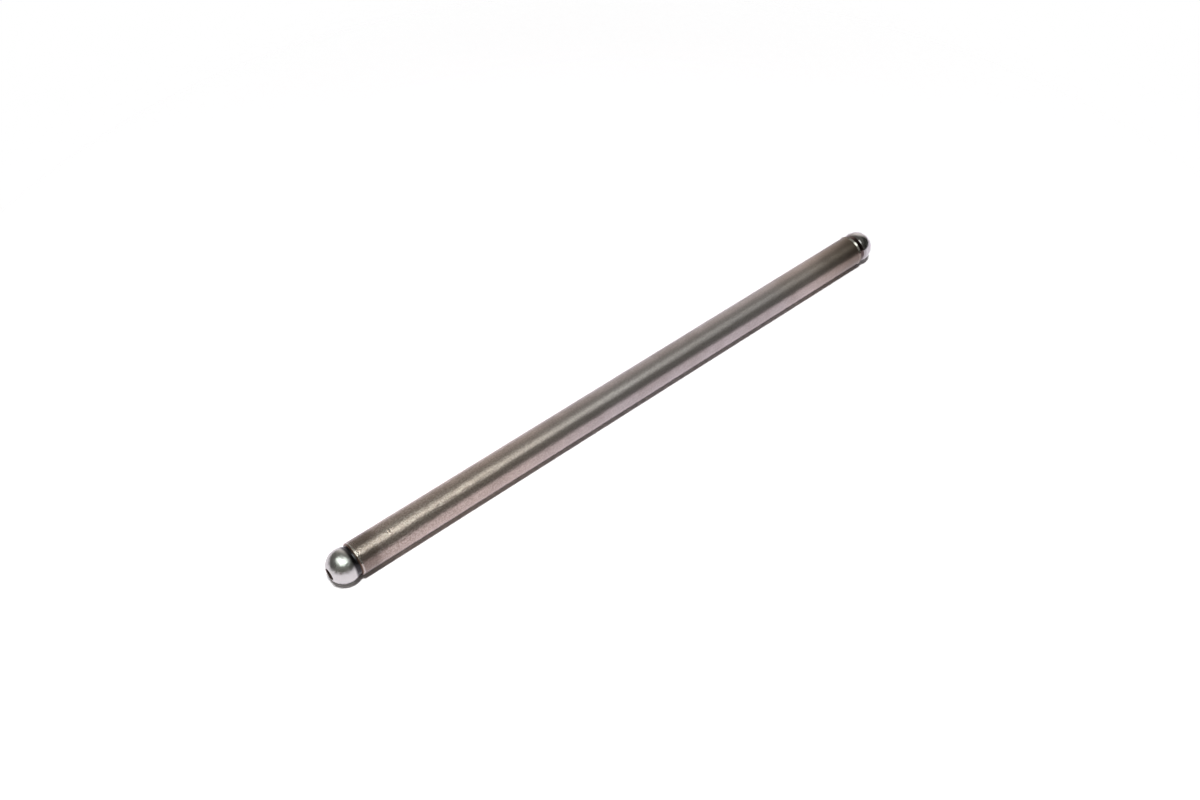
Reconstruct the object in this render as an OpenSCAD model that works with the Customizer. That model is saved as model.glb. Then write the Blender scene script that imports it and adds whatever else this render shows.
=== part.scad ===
// Engine pushrod: a straight steel tube with a drilled ball tip pressed into each end.
// The rod lies along X, its axis on the origin, with the rocker end at -X and the lifter end at +X.

/* [Tube] */
// Outside diameter of the tube
tube_od = 7.94; // [6.5:0.01:9.6]
// Wall thickness of the tube
tube_wall = 1.65; // [1.1:0.05:2]
// Length of the tube between its two cut ends
tube_length = 157.1; // [80:0.1:280]
// Radius that breaks the outer edge of each cut end
tube_edge_radius = 0.3; // [0.1:0.05:0.6]
// Chamfer inside each cut end, which leads a tip into the bore
bore_chamfer = 0.3; // [0.1:0.05:0.5]

/* [Ball tips] */
// Diameter of the ball on each tip
ball_d = 7.94; // [6.5:0.01:9.6]
// Distance from the tube's end to the centre of the rocker ball
rocker_ball_reach = 2.3; // [1.5:0.05:3]
// Diameter of the neck between the rocker ball and the tube
rocker_neck_d = 7.05; // [6:0.05:7.6]
// Distance from the tube's end to the centre of the lifter ball
lifter_ball_reach = 2.2; // [1.5:0.05:3]
// Diameter of the neck between the lifter ball and the tube
lifter_neck_d = 7.6; // [6:0.05:7.6]
// Diameter of the oil hole through each tip
oil_hole_d = 2.7; // [1.2:0.1:3]
// Width of the chamfer around the mouth of each oil hole
oil_mouth_chamfer = 0.2; // [0.1:0.05:0.5]
// Length of the shank that holds each tip in the tube
shank_length = 9.5; // [5:0.5:20]
// Chamfer on the inner end of each shank
shank_chamfer = 0.5; // [0.2:0.1:0.8]

/* [Fits] */
// Radial gap drawn between a shank and the bore that it presses into
press_gap = 0.01; // [0.005:0.005:0.02]

/* [Hidden] */
$fn = 96;

tube_r = tube_od / 2;
bore_r = tube_r - tube_wall;
shank_r = bore_r - press_gap;
ball_r = ball_d / 2;
oil_r = oil_hole_d / 2;

// Both balls are alike, so the rod's middle lies halfway between their centres
ball_spacing = rocker_ball_reach + tube_length + lifter_ball_reach;
rocker_end_x = rocker_ball_reach - ball_spacing / 2;
lifter_end_x = rocker_end_x + tube_length;

// Half section of the tube, from its cut end at 0 up to the other cut end
module tube_section() {
    difference() {
        translate([bore_r, 0])
            square([tube_wall, tube_length]);
        for (far = [0, 1])
            translate([0, far * tube_length])
                mirror([0, far])
                    cut_end_trim();
    }
}

// What is taken off one cut end: a rounded outer edge and a chamfered bore edge
module cut_end_trim() {
    translate([tube_r - tube_edge_radius, 0])
        difference() {
            square(tube_edge_radius);
            translate([0, tube_edge_radius])
                circle(tube_edge_radius);
        }
    translate([bore_r, 0])
        polygon([[0, 0], [bore_chamfer, 0], [0, bore_chamfer]]);
}

// Tip with its shoulder at 0, its neck and ball above and its shank below
module ball_tip(reach, neck_d) {
    difference() {
        union() {
            intersection() {
                translate([0, 0, reach])
                    sphere(ball_r);
                cylinder(h = reach + ball_r, r = ball_d);
            }
            cylinder(h = reach, d = neck_d);
            tip_shank();
        }
        translate([0, 0, reach])
            oil_way();
    }
}

// Shank below the shoulder, with a chamfered inner end
module tip_shank() {
    straight = shank_length - shank_chamfer;
    translate([0, 0, -straight])
        cylinder(h = straight, r = shank_r);
    translate([0, 0, -shank_length])
        cylinder(h = shank_chamfer, r1 = shank_r - shank_chamfer, r2 = shank_r);
}

// What is drilled through a tip: the oil hole and the chamfer of its mouth, from the ball's centre
module oil_way() {
    mouth_r = oil_r + oil_mouth_chamfer;
    mouth_height = sqrt(pow(ball_r, 2) - pow(mouth_r, 2));
    translate([0, 0, -ball_d - shank_length])
        cylinder(h = 2 * ball_d + shank_length, r = oil_r);
    translate([0, 0, mouth_height - oil_mouth_chamfer])
        cylinder(h = 2 * oil_mouth_chamfer, r1 = oil_r, r2 = mouth_r + oil_mouth_chamfer);
}

// Carbon steel tube, drawn straight and cut square
module push_tube() {
    color([0.47, 0.43, 0.40])
        translate([rocker_end_x, 0, 0])
            rotate([0, 90, 0])
                rotate_extrude()
                    tube_section();
}

// Turned and hardened tip that turns in the rocker arm's cup
module rocker_ball_tip() {
    color([0.74, 0.74, 0.73])
        translate([rocker_end_x, 0, 0])
            rotate([0, -90, 0])
                ball_tip(rocker_ball_reach, rocker_neck_d);
}

// Turned and hardened tip that sits in the lifter's seat
module lifter_ball_tip() {
    color([0.70, 0.69, 0.69])
        translate([lifter_end_x, 0, 0])
            rotate([0, 90, 0])
                ball_tip(lifter_ball_reach, lifter_neck_d);
}

push_tube();
rocker_ball_tip();
lifter_ball_tip();
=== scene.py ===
import math

import bmesh
import bpy
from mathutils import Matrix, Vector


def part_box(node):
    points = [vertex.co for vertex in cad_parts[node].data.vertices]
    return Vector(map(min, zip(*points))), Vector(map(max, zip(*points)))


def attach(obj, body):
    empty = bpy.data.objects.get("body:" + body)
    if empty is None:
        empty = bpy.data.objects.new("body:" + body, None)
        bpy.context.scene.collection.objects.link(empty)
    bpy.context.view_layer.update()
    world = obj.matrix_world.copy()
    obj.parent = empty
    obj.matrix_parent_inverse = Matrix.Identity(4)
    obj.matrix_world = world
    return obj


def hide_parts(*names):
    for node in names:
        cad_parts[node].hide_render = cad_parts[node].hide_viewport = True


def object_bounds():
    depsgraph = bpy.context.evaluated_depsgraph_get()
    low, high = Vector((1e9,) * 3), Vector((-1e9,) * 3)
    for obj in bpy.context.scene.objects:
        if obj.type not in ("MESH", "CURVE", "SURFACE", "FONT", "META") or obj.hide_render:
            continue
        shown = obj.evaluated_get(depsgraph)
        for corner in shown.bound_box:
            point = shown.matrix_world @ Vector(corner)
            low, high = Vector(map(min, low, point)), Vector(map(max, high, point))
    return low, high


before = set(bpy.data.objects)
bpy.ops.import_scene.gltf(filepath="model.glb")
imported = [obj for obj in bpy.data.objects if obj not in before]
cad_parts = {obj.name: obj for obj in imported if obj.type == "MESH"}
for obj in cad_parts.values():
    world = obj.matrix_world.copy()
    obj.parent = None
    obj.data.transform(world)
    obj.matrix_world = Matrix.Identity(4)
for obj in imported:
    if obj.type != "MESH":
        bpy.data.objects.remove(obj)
cad_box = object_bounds()


# Push tube
# The long barrel of the rod: carbon steel tube, drawn straight, cut square and heat treated.
# Its outer edges are rounded, with a faint lip left by the cut, and its bore carries oil.
tube_low, tube_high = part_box("push_tube")
tube_radius = tube_high.z
tube_length = tube_high.x - tube_low.x
tube_wall = 0.00165
tube_edge_radius = 0.0003
edge_segments = 10
rocker_lip_width = 0.0006
lifter_lip_width = 0.00047
barrel_margin = 0.0005
rocker_lip_height = 0.00002
lifter_lip_height = 0.000115
bore_radius = tube_radius - tube_wall
bore_chamfer = 0.0003
round_steps = 192
crisp_angle = math.radians(12)
same_place = 1e-6
same_radius = 1e-5
cut_threshold = 1e-7


def select_faces(piece, keep):
    """Leave selected, in edit mode, only the faces that keep() accepts."""
    bpy.ops.mesh.select_mode(type="FACE")
    bpy.ops.mesh.select_all(action="DESELECT")
    mesh = bmesh.from_edit_mesh(piece.data)
    for face in mesh.faces:
        face.select_set(keep(face))
    bmesh.update_edit_mesh(piece.data)


def select_edges(piece, keep):
    """Leave selected, in edit mode, only the edges that keep() accepts."""
    bpy.ops.mesh.select_mode(type="EDGE")
    bpy.ops.mesh.select_all(action="DESELECT")
    mesh = bmesh.from_edit_mesh(piece.data)
    for edge in mesh.edges:
        edge.select_set(keep(edge))
    bmesh.update_edit_mesh(piece.data)


def is_ring(edge, radius, station=None):
    """True for an edge that runs around the rod at this radius, and at this X if one is given."""
    first, second = (vertex.co for vertex in edge.verts)
    if abs(first.x - second.x) > same_place:
        return False
    if station is not None and abs(first.x - station) > same_place:
        return False
    return all(abs(math.hypot(end.y, end.z) - radius) < same_radius for end in (first, second))


bpy.ops.object.select_all(action="DESELECT")
bpy.ops.mesh.primitive_cylinder_add(
    vertices=round_steps,
    radius=tube_radius,
    depth=tube_length,
    location=((tube_low.x + tube_high.x) / 2, 0, 0),
    rotation=(0, math.pi / 2, 0),
)
tube = bpy.context.object
tube.name = "pushrod_tube"
bpy.ops.object.transform_apply(location=True, rotation=True, scale=True)
bpy.ops.object.mode_set(mode="EDIT")
select_faces(tube, lambda face: abs(face.normal.x) > 0.9)
bpy.ops.mesh.inset(thickness=tube_wall, use_individual=True)
bpy.ops.mesh.bridge_edge_loops()
select_edges(tube, lambda edge: is_ring(edge, tube_radius))
bpy.ops.mesh.bevel(offset=tube_edge_radius, segments=edge_segments, affect="EDGES")
select_edges(tube, lambda edge: is_ring(edge, bore_radius))
bpy.ops.mesh.bevel(offset=bore_chamfer, segments=1, affect="EDGES")

# The lip: a ring is cut in beside each rounded edge, and the edge's own first ring is raised above it.
# One more ring keeps the long barrel's shading straight right up to the lip.
for end_x, inward, lip_width, lip_height in (
    (tube_low.x, 1, rocker_lip_width, rocker_lip_height),
    (tube_high.x, -1, lifter_lip_width, lifter_lip_height),
):
    crest_x = end_x + inward * tube_edge_radius
    for from_crest in (lip_width, lip_width + barrel_margin):
        bpy.ops.mesh.select_all(action="SELECT")
        ring_x = crest_x + inward * from_crest
        bpy.ops.mesh.bisect(plane_co=(ring_x, 0, 0), plane_no=(1, 0, 0), threshold=cut_threshold)
    select_edges(tube, lambda edge: is_ring(edge, tube_radius, crest_x))
    raised = 1 + lip_height / tube_radius
    bpy.ops.transform.resize(value=(1, raised, raised))
bpy.ops.mesh.select_all(action="SELECT")
bpy.ops.mesh.normals_make_consistent(inside=False)
bpy.ops.object.mode_set(mode="OBJECT")
bpy.ops.object.shade_smooth_by_angle(angle=crisp_angle)


def add_node(tree, kind, **settings):
    """Add a shader node and set its properties."""
    made = tree.nodes.new(kind)
    for name, value in settings.items():
        setattr(made, name, value)
    return made


def math_node(tree, operation, first, second=None):
    """Add a Math node: each operand is a socket or a number."""
    made = add_node(tree, "ShaderNodeMath", operation=operation)
    for socket, value in zip(made.inputs, (first, second)):
        if value is None:
            continue
        if isinstance(value, bpy.types.NodeSocket):
            tree.links.new(value, socket)
        else:
            socket.default_value = value
    return made.outputs[0]


def fade(tree, value, low, high, to_low=0.0, to_high=1.0):
    """Map a socket smoothly from low..high to to_low..to_high, held at both ends."""
    made = add_node(tree, "ShaderNodeMapRange", interpolation_type="SMOOTHSTEP")
    tree.links.new(value, made.inputs["Value"])
    made.inputs["From Min"].default_value = low
    made.inputs["From Max"].default_value = high
    made.inputs["To Min"].default_value = to_low
    made.inputs["To Max"].default_value = to_high
    return made.outputs["Result"]


def tint(tree, mask, first, second):
    """Mix two colours by a mask: each colour is a socket or a plain RGB."""
    made = add_node(tree, "ShaderNodeMix", data_type="RGBA")
    tree.links.new(mask, made.inputs["Factor"])
    for name, colour in (("A", first), ("B", second)):
        socket = next(s for s in made.inputs if s.name == name and s.type == "RGBA")
        if isinstance(colour, bpy.types.NodeSocket):
            tree.links.new(colour, socket)
        else:
            socket.default_value = (*colour, 1)
    return next(s for s in made.outputs if s.type == "RGBA")


# Steel surface: ring marks of turning and grinding about X, slow blotches, fine grain and pits.
# Each input is how closely that mark is packed, and each output is the mark's mask.
steel_surface = bpy.data.node_groups.new("turned_steel_surface", "ShaderNodeTree")
steel_surface.interface.new_socket("Place", in_out="INPUT", socket_type="NodeSocketVector")
for name in ("Rings", "Blotches", "Grain", "Pits"):
    steel_surface.interface.new_socket(name, in_out="INPUT", socket_type="NodeSocketFloat")
    steel_surface.interface.new_socket(name, in_out="OUTPUT", socket_type="NodeSocketFloat")
group_in = add_node(steel_surface, "NodeGroupInput")
group_out = add_node(steel_surface, "NodeGroupOutput")
ring_stretch = 0.03
around = math_node(steel_surface, "MULTIPLY", group_in.outputs["Rings"], ring_stretch)
spread = add_node(steel_surface, "ShaderNodeCombineXYZ")
steel_surface.links.new(group_in.outputs["Rings"], spread.inputs["X"])
steel_surface.links.new(around, spread.inputs["Y"])
steel_surface.links.new(around, spread.inputs["Z"])
stretched = add_node(steel_surface, "ShaderNodeVectorMath", operation="MULTIPLY")
steel_surface.links.new(group_in.outputs["Place"], stretched.inputs[0])
steel_surface.links.new(spread.outputs["Vector"], stretched.inputs[1])
ring_noise = add_node(steel_surface, "ShaderNodeTexNoise")
ring_noise.inputs["Scale"].default_value = 1.0
ring_noise.inputs["Detail"].default_value = 3.0
steel_surface.links.new(stretched.outputs["Vector"], ring_noise.inputs["Vector"])
steel_surface.links.new(ring_noise.outputs["Fac"], group_out.inputs["Rings"])
for name, detail in (("Blotches", 4.0), ("Grain", 2.0)):
    noise = add_node(steel_surface, "ShaderNodeTexNoise")
    noise.inputs["Detail"].default_value = detail
    steel_surface.links.new(group_in.outputs["Place"], noise.inputs["Vector"])
    steel_surface.links.new(group_in.outputs[name], noise.inputs["Scale"])
    steel_surface.links.new(noise.outputs["Fac"], group_out.inputs[name])
cells = add_node(steel_surface, "ShaderNodeTexVoronoi", feature="F1")
steel_surface.links.new(group_in.outputs["Place"], cells.inputs["Vector"])
steel_surface.links.new(group_in.outputs["Pits"], cells.inputs["Scale"])
pit_chance = add_node(steel_surface, "ShaderNodeSeparateColor")
steel_surface.links.new(cells.outputs["Color"], pit_chance.inputs["Color"])
cells_without_pit = 0.86
rare = math_node(steel_surface, "GREATER_THAN", pit_chance.outputs["Red"], cells_without_pit)
dot = fade(steel_surface, cells.outputs["Distance"], 0.1, 0.3, 1.0, 0.0)
steel_surface.links.new(math_node(steel_surface, "MULTIPLY", rare, dot), group_out.inputs["Pits"])


def steel(name, rings, blotches, grain, pits):
    """Start a bare metal material with marks packed this closely: its tree, shader, place and marks."""
    material = bpy.data.materials.new(name)
    material.use_nodes = True
    tree = material.node_tree
    shader = tree.nodes["Principled BSDF"]
    shader.inputs["Metallic"].default_value = 1.0
    place = add_node(tree, "ShaderNodeTexCoord").outputs["Object"]
    split = add_node(tree, "ShaderNodeSeparateXYZ")
    tree.links.new(place, split.inputs["Vector"])
    marks = add_node(tree, "ShaderNodeGroup", node_tree=steel_surface)
    tree.links.new(place, marks.inputs["Place"])
    for socket, value in (("Rings", rings), ("Blotches", blotches), ("Grain", grain), ("Pits", pits)):
        marks.inputs[socket].default_value = value
    return material, tree, shader, split.outputs, marks.outputs


def relief(tree, shader, height, depth):
    """Feed a height socket to the shader's normal as bumps of this depth in metres."""
    bump = add_node(tree, "ShaderNodeBump")
    bump.inputs["Distance"].default_value = depth
    tree.links.new(height, bump.inputs["Height"])
    tree.links.new(bump.outputs["Normal"], shader.inputs["Normal"])


mid_grey = (0.44, 0.38, 0.375)
end_brown = (0.475, 0.372, 0.327)
stain = (0.22, 0.17, 0.145)
rocker_scale = (0.15, 0.11, 0.09)
lifter_scale = (0.115, 0.085, 0.062)
bare_edge = (0.80, 0.74, 0.68)
copper_scale = (0.17, 0.098, 0.066)
tube_steel, tree, shader, place, marks = steel(
    "heat_tinted_tube_steel", rings=9000, blotches=160, grain=2500, pits=1500)
shader.inputs["Metallic"].default_value = 0.82
ragged = math_node(tree, "MULTIPLY", math_node(tree, "SUBTRACT", marks["Blotches"], 0.5), 0.012)
warped = math_node(tree, "ADD", place["X"], ragged)
rocker_browned = fade(tree, warped, -0.05, 0.0, 1.0, 0.0)
lifter_browned = fade(tree, warped, 0.04, 0.075)
browned = math_node(tree, "MAXIMUM", rocker_browned, lifter_browned)
colour = tint(tree, browned, mid_grey, end_brown)
cloudy = fade(tree, marks["Blotches"], 0.35, 0.7, 0.0, 0.22)
colour = tint(tree, cloudy, colour, stain)
coarse = fade(tree, place["X"], tube_low.x, 0.0, 1.0, 0.4)
dark_grain = math_node(tree, "MULTIPLY", fade(tree, marks["Grain"], 0.5, 0.62, 0.0, 0.35), coarse)
colour = tint(tree, dark_grain, colour, stain)
light_grain = math_node(tree, "MULTIPLY", fade(tree, marks["Grain"], 0.38, 0.5, 0.25, 0.0), coarse)
colour = tint(tree, light_grain, colour, bare_edge)
rocker_side = math_node(tree, "SUBTRACT", place["X"], tube_low.x)
lifter_side = math_node(tree, "SUBTRACT", tube_high.x, place["X"])
rocker_burn_and_highlight = fade(tree, math_node(tree, "ADD", rocker_side, ragged), 0.0052, 0.0092, 1.0, 0.0)
# The highlight line: 1 where the surface faces the way the soft boxes' highlight falls towards the camera.
highlight_rise = 0.925 / tube_radius
highlight_lean = 0.38 / tube_radius
highlight_line = math_node(tree, "SUBTRACT", math_node(tree, "MULTIPLY", place["Z"], highlight_rise),
                   math_node(tree, "MULTIPLY", place["Y"], highlight_lean))
# Painted highlight: near the rocker end the scale is thinner along the highlight line, so the highlight
# stays bright there.
rocker_burn_and_highlight = math_node(tree, "MULTIPLY", rocker_burn_and_highlight, fade(tree, highlight_line, 0.96, 0.992, 1.0, 0.35))
lifter_burn_and_shade = fade(tree, math_node(tree, "ADD", lifter_side, ragged), 0.0, 0.020, 1.0, 0.0)
# Painted shade: near the lifter end the scale is darker along the highlight line, which dims the highlight
# there.
lifter_burn_and_shade = math_node(tree, "MULTIPLY", lifter_burn_and_shade, fade(tree, highlight_line, 0.6, 0.9, 0.72, 0.93))
colour = tint(tree, math_node(tree, "MULTIPLY", rocker_burn_and_highlight, 0.70), colour, rocker_scale)
colour = tint(tree, lifter_burn_and_shade, colour, lifter_scale)
colour = tint(tree, math_node(tree, "MULTIPLY", marks["Pits"], 0.5), colour, stain)
from_end = math_node(tree, "MINIMUM", rocker_side, lifter_side)
lifter_foot = tube_edge_radius + lifter_lip_width
worn_from = fade(tree, from_end, 0.0002, 0.00035)
worn_to = math_node(tree, "MAXIMUM", fade(tree, rocker_side, 0.0005, 0.0007, 1.0, 0.0),
                    fade(tree, lifter_side, lifter_foot, lifter_foot + 0.0001, 1.0, 0.0))
worn = math_node(tree, "MULTIPLY", worn_from, worn_to)
rocker_bare = fade(tree, place["X"], -0.01, 0.01, 0.5, 0.0)
# Painted glint: the worn lip at the lifter end is bared far more along the highlight line, so it shines
# there. The rocker end's worn ring is real wear.
lifter_wear_and_glint = math_node(tree, "MULTIPLY", fade(tree, place["X"], -0.01, 0.01),
                        fade(tree, highlight_line, 0.8, 0.95, 0.12, 0.8))
wear_and_glint = math_node(tree, "MULTIPLY", worn, math_node(tree, "ADD", rocker_bare, lifter_wear_and_glint))
colour = tint(tree, wear_and_glint, colour, bare_edge)
colour = tint(tree, fade(tree, from_end, 0.00005, 0.00025, 1.0, 0.0), colour, copper_scale)
tree.links.new(colour, shader.inputs["Base Color"])
matt = math_node(tree, "ADD", fade(tree, place["X"], tube_low.x, 0.0, 0.26, 0.315),
                 fade(tree, marks["Blotches"], 0.3, 0.7, 0.0, 0.035))
sheen = math_node(tree, "MULTIPLY", worn, 0.18)
tree.links.new(math_node(tree, "SUBTRACT", matt, sheen), shader.inputs["Roughness"])
height = math_node(tree, "MULTIPLY", math_node(tree, "SUBTRACT", marks["Grain"], 0.5), coarse)
height = math_node(tree, "MULTIPLY", height, fade(tree, lifter_side, lifter_foot, lifter_foot + 0.0004))
height = math_node(tree, "ADD", height, math_node(tree, "MULTIPLY", marks["Rings"], 0.08))
relief(tree, shader, height, 0.0001)
shader.inputs["Anisotropic"].default_value = 0.65
shader.inputs["Anisotropic Rotation"].default_value = 0.25
along = add_node(tree, "ShaderNodeTangent", direction_type="RADIAL", axis="X")
tree.links.new(along.outputs["Tangent"], shader.inputs["Tangent"])
tube.data.materials.append(tube_steel)
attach(tube, "root")
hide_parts("push_tube")


# Rocker ball tip
# Hardened steel tip at the end that works in the rocker arm's cup: turned as one piece, ball ground satin,
# drilled for oil, its neck left dark and its shank pressed into the tube up to the flat shoulder.
oil_radius = 0.00135
oil_mouth_chamfer = 0.0002
# Painted shade colour for inside the oil hole.
hole_shade_colour = (0.10, 0.06, 0.05)
press_gap = 0.00001
shank_radius = bore_radius - press_gap
shank_chamfer = 0.0005


def ball_tip(node, name, shoulder_x, outward, neck_radius):
    """Model one tip over its CAD node: outward is +1 or -1, the way its ball points along X."""
    low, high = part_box(node)
    ball_radius = high.z
    mouth_radius = oil_radius + oil_mouth_chamfer
    mouth_x = high.x if outward > 0 else low.x
    shank_end_x = low.x if outward > 0 else high.x
    centre_x = mouth_x - outward * math.sqrt(ball_radius**2 - mouth_radius**2)
    neck_x = centre_x - outward * math.sqrt(ball_radius**2 - neck_radius**2)

    bpy.ops.object.select_all(action="DESELECT")
    bpy.ops.mesh.primitive_uv_sphere_add(
        segments=round_steps,
        ring_count=round_steps // 2,
        radius=ball_radius,
        location=(centre_x, 0, 0),
        rotation=(0, math.pi / 2, 0),
    )
    tip = bpy.context.object
    tip.name = name
    bpy.ops.object.transform_apply(location=True, rotation=True, scale=True)
    bpy.ops.object.mode_set(mode="EDIT")
    for plane_x, way in ((neck_x, -outward), (mouth_x, outward)):
        bpy.ops.mesh.select_all(action="SELECT")
        bpy.ops.mesh.bisect(
            plane_co=(plane_x, 0, 0),
            plane_no=(way, 0, 0),
            use_fill=True,
            clear_outer=True,
            threshold=cut_threshold,
        )

    def on_plane(face, x):
        return abs(face.calc_center_median().x - x) < same_place and abs(face.normal.x) > 0.99

    # The neck, the shoulder's flat, the straight shank and its chamfered end
    select_faces(tip, lambda face: on_plane(face, neck_x))
    bpy.ops.mesh.extrude_region_move(TRANSFORM_OT_translate={"value": (shoulder_x - neck_x, 0, 0)})
    bpy.ops.mesh.inset(thickness=neck_radius - shank_radius)
    to_chamfer = shank_end_x + outward * shank_chamfer - shoulder_x
    bpy.ops.mesh.extrude_region_move(TRANSFORM_OT_translate={"value": (to_chamfer, 0, 0)})
    bpy.ops.mesh.extrude_region_move(TRANSFORM_OT_translate={"value": (-outward * shank_chamfer, 0, 0)})
    taper = (shank_radius - shank_chamfer) / shank_radius
    bpy.ops.transform.resize(value=(1, taper, taper))
    bpy.ops.mesh.inset(thickness=shank_radius - shank_chamfer - oil_radius)

    # The oil hole's chamfered mouth, then the hole right through
    select_faces(tip, lambda face: on_plane(face, mouth_x))
    bpy.ops.mesh.extrude_region_move(TRANSFORM_OT_translate={"value": (-outward * oil_mouth_chamfer, 0, 0)})
    taper = oil_radius / mouth_radius
    bpy.ops.transform.resize(value=(1, taper, taper))
    hole_ends = (mouth_x - outward * oil_mouth_chamfer, shank_end_x)
    select_faces(
        tip,
        lambda face: len(face.verts) > 4 and any(on_plane(face, x) for x in hole_ends),
    )
    bpy.ops.mesh.bridge_edge_loops()
    bpy.ops.mesh.select_all(action="SELECT")
    bpy.ops.mesh.normals_make_consistent(inside=False)
    bpy.ops.object.mode_set(mode="OBJECT")
    bpy.ops.object.shade_smooth_by_angle(angle=crisp_angle)
    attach(tip, "root")
    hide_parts(node)
    return tip, neck_x


def ball_steel(name, outward, neck_x, neck_clean, ground, back_shade_colour, neck_colour,
               smooth, matt, grain_depth):
    """Ground ball steel, with its own colour on the neck, painted shade on the back of the ball towards the
    neck, and painted shade in the oil hole.
    """
    material, tree, shader, place, marks = steel(name, rings=5000, blotches=300, grain=2500, pits=700)
    across = math_node(tree, "POWER", place["Y"], 2)
    upright = math_node(tree, "POWER", place["Z"], 2)
    off_axis = math_node(tree, "SQRT", math_node(tree, "ADD", across, upright))
    past_neck = math_node(tree, "MULTIPLY", math_node(tree, "SUBTRACT", place["X"], neck_x), -outward)
    # Painted shade: the back of the ball is darkened towards the neck, in the crease where it meets the
    # tube.
    crease_shade = fade(tree, past_neck, -0.0012, -0.0005)
    scaled = fade(tree, past_neck, neck_clean, neck_clean + 0.0001)
    # Painted shade in the oil hole and on its chamfered mouth.
    hole_shaded = fade(tree, off_axis, oil_radius, oil_radius + 1.2 * oil_mouth_chamfer, 1.0, 0.0)
    cloudy = fade(tree, marks["Blotches"], 0.4, 0.75, 0.0, 0.18)
    colour = tint(tree, cloudy, ground, tuple(0.6 * c for c in ground))
    colour = tint(tree, math_node(tree, "MULTIPLY", marks["Pits"], 0.4), colour, neck_colour)
    colour = tint(tree, crease_shade, colour, back_shade_colour)
    colour = tint(tree, scaled, colour, neck_colour)
    colour = tint(tree, hole_shaded, colour, hole_shade_colour)
    tree.links.new(colour, shader.inputs["Base Color"])
    polish = fade(tree, marks["Blotches"], 0.3, 0.7, smooth, matt)
    dull = math_node(tree, "MULTIPLY", hole_shaded, 0.2)
    tree.links.new(math_node(tree, "ADD", polish, dull), shader.inputs["Roughness"])
    height = math_node(tree, "ADD", marks["Grain"], math_node(tree, "MULTIPLY", marks["Rings"], 0.5))
    relief(tree, shader, height, grain_depth)
    return material


rocker_neck_radius = 0.003525
rocker_tip, neck_x = ball_tip("rocker_ball_tip", "pushrod_rocker_tip", tube_low.x, -1, rocker_neck_radius)
rocker_tip.data.materials.append(
    ball_steel(
        "satin_ball_steel",
        -1,
        neck_x,
        neck_clean=0.0004,
        ground=(0.62, 0.605, 0.58),
        back_shade_colour=(0.045, 0.043, 0.045),
        neck_colour=(0.22, 0.15, 0.115),
        smooth=0.27,
        matt=0.32,
        grain_depth=0.00006,
    )
)


# Lifter ball tip
# The same kind of turned and hardened tip at the end that sits in the valve lifter.
# Its ball is polished brighter and its neck is wider, almost as thick as the tube.
lifter_neck_radius = 0.0038
lifter_tip, neck_x = ball_tip("lifter_ball_tip", "pushrod_lifter_tip", tube_high.x, 1, lifter_neck_radius)
lifter_tip.data.materials.append(
    ball_steel(
        "polished_ball_steel",
        1,
        neck_x,
        neck_clean=-0.0001,
        ground=(0.58, 0.56, 0.56),
        back_shade_colour=(0.40, 0.37, 0.37),
        neck_colour=(0.10, 0.07, 0.065),
        smooth=0.18,
        matt=0.24,
        grain_depth=0.000003,
    )
)


# Floor
# Plain pale table that the rod lies on: white to the camera, and paler in the steel than in its own light.
# Away from the rod it runs out into the white of the room.
floor_size = 8.0
floor_own = (0.80, 0.79, 0.79)
floor_in_metal = (1.40, 1.22, 1.36)
floor_to_camera = (1.50, 1.35, 1.40)
fade_starts = 0.11
fade_ends = 0.22
bpy.ops.object.select_all(action="DESELECT")
bpy.ops.mesh.primitive_plane_add(size=floor_size, location=(0, 0, cad_box[0][2]))
floor = bpy.context.object
floor.name = "floor"
floor_white = bpy.data.materials.new("floor_white")
floor_white.use_nodes = True
tree = floor_white.node_tree
tree.nodes.remove(tree.nodes["Principled BSDF"])
cloth = add_node(tree, "ShaderNodeBsdfDiffuse")
ray = add_node(tree, "ShaderNodeLightPath")
in_metal = math_node(tree, "MAXIMUM", ray.outputs["Is Glossy Ray"], ray.outputs["Is Transmission Ray"])
before_diffuse = math_node(tree, "LESS_THAN", ray.outputs["Diffuse Depth"], 0.5)
in_metal = math_node(tree, "MULTIPLY", in_metal, before_diffuse)
seen = tint(tree, in_metal, floor_own, floor_in_metal)
seen = tint(tree, ray.outputs["Is Camera Ray"], seen, floor_to_camera)
tree.links.new(seen, cloth.inputs["Color"])
clear = add_node(tree, "ShaderNodeBsdfTransparent")
from_rod = add_node(tree, "ShaderNodeVectorMath", operation="LENGTH")
tree.links.new(add_node(tree, "ShaderNodeTexCoord").outputs["Object"], from_rod.inputs[0])
distant = fade(tree, from_rod.outputs["Value"], fade_starts, fade_ends)
distant = math_node(tree, "MULTIPLY", distant, ray.outputs["Is Camera Ray"])
blend = add_node(tree, "ShaderNodeMixShader")
tree.links.new(distant, blend.inputs["Fac"])
tree.links.new(cloth.outputs["BSDF"], blend.inputs[1])
tree.links.new(clear.outputs["BSDF"], blend.inputs[2])
tree.links.new(blend.outputs["Shader"], tree.nodes["Material Output"].inputs["Surface"])
floor.data.materials.append(floor_white)


# Studio light
# Three soft boxes side by side overhead, which the steel reflects, and a small lamp that draws the shadow.
# The room around them is dim, darker behind the rocker end and darkest past the lifter end.
# One pale wall stands behind the rod.
light_height = 1.2
lamp_colour = (0.90, 1.0, 0.965)


def soft_lamp(name, low, high, energy):
    """Hang a flat lamp that shines down, from its low to its high corner in X and Y."""
    lamp = bpy.data.objects.new(name, bpy.data.lights.new(name, "AREA"))
    lamp.data.shape = "RECTANGLE"
    lamp.data.size = high[0] - low[0]
    lamp.data.size_y = high[1] - low[1]
    lamp.data.energy = energy
    lamp.data.color = lamp_colour
    lamp.location = ((low[0] + high[0]) / 2, (low[1] + high[1]) / 2, light_height)
    lamp.visible_camera = False
    bpy.context.scene.collection.objects.link(lamp)
    return lamp


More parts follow.
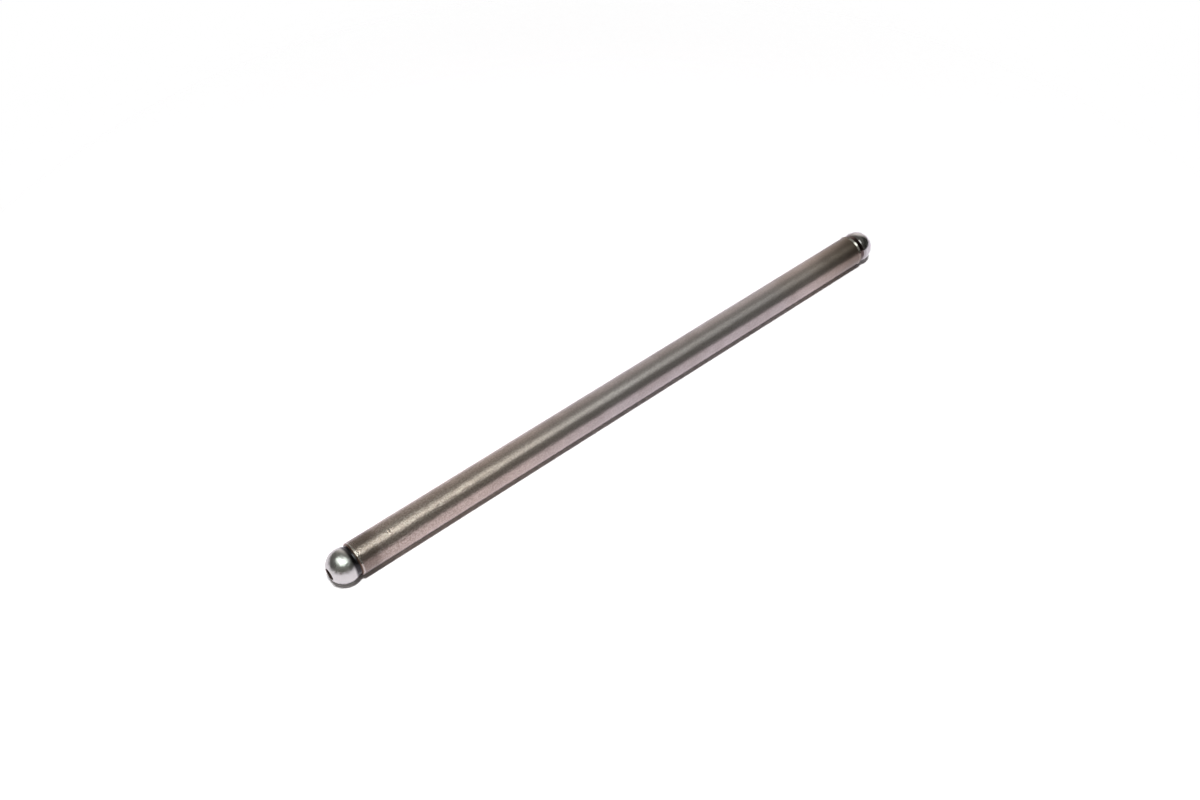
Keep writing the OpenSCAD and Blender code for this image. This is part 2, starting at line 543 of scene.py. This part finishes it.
for name, low, high, energy in (
    ("soft_box_rocker_end", (-0.66, -0.66), (-0.22, 0.60), 6.3),
    ("soft_box_middle", (-0.22, -0.66), (0.12, 0.08), 3.0),
    ("soft_box_lifter_end", (0.12, -0.80), (0.37, -0.14), 1.62),
):
    soft_lamp(name, low, high, energy).visible_diffuse = False
soft_lamp("shadow_lamp", (-0.33, -0.275), (-0.07, -0.215), 12.5).visible_glossy = False

world = bpy.data.worlds.new("studio")
bpy.context.scene.world = world
world.use_nodes = True
tree = world.node_tree
way = add_node(tree, "ShaderNodeTexCoord").outputs["Generated"]


def facing(azimuth, elevation):
    """How far a direction of the world points to this azimuth and elevation: 1 is straight there."""
    dot = add_node(tree, "ShaderNodeVectorMath", operation="DOT_PRODUCT")
    tree.links.new(way, dot.inputs[0])
    turn = math.radians(azimuth)
    climb = math.radians(elevation)
    dot.inputs[1].default_value = (
        math.cos(turn) * math.cos(climb),
        math.sin(turn) * math.cos(climb),
        math.sin(climb),
    )
    return dot.outputs["Value"]


dim_room = (0.16, 0.16, 0.145)
past_lifter_end = (0.035, 0.035, 0.03)
behind_rocker_end = (0.085, 0.085, 0.08)
pale_wall = (1.0, 0.95, 0.92)
room_light = (0.07, 0.07, 0.07)
room_to_camera = (1, 1, 1)
room = tint(tree, fade(tree, facing(-25, 0), 0.42, 0.78), dim_room, past_lifter_end)
room = tint(tree, fade(tree, facing(145, 15), 0.7, 0.95), room, behind_rocker_end)
room = tint(tree, fade(tree, facing(42, 8), 0.72, 1.0), room, pale_wall)
ray = add_node(tree, "ShaderNodeLightPath")
room = tint(tree, ray.outputs["Is Diffuse Ray"], room, room_light)
room = tint(tree, ray.outputs["Is Camera Ray"], room, room_to_camera)
tree.links.new(room, tree.nodes["Background"].inputs["Color"])


# Camera
# Looks down on the rod from beyond its rocker end, as in the photograph.
photo_width = 1200
focal_px = 1300
camera_place = (-0.14375, -0.15976, 0.22859)
camera_heading = 49.862
camera_pitch = 47.299
camera = bpy.data.objects.new("camera", bpy.data.cameras.new("camera"))
bpy.context.scene.collection.objects.link(camera)
camera.data.sensor_width = 36.0
camera.data.lens = camera.data.sensor_width * focal_px / photo_width
camera.data.clip_start = 0.01
camera.location = camera_place
camera.rotation_euler = (math.radians(90 - camera_pitch), 0, math.radians(camera_heading - 90))
bpy.context.scene.camera = camera

bpy.context.scene.view_settings.view_transform = "Standard"
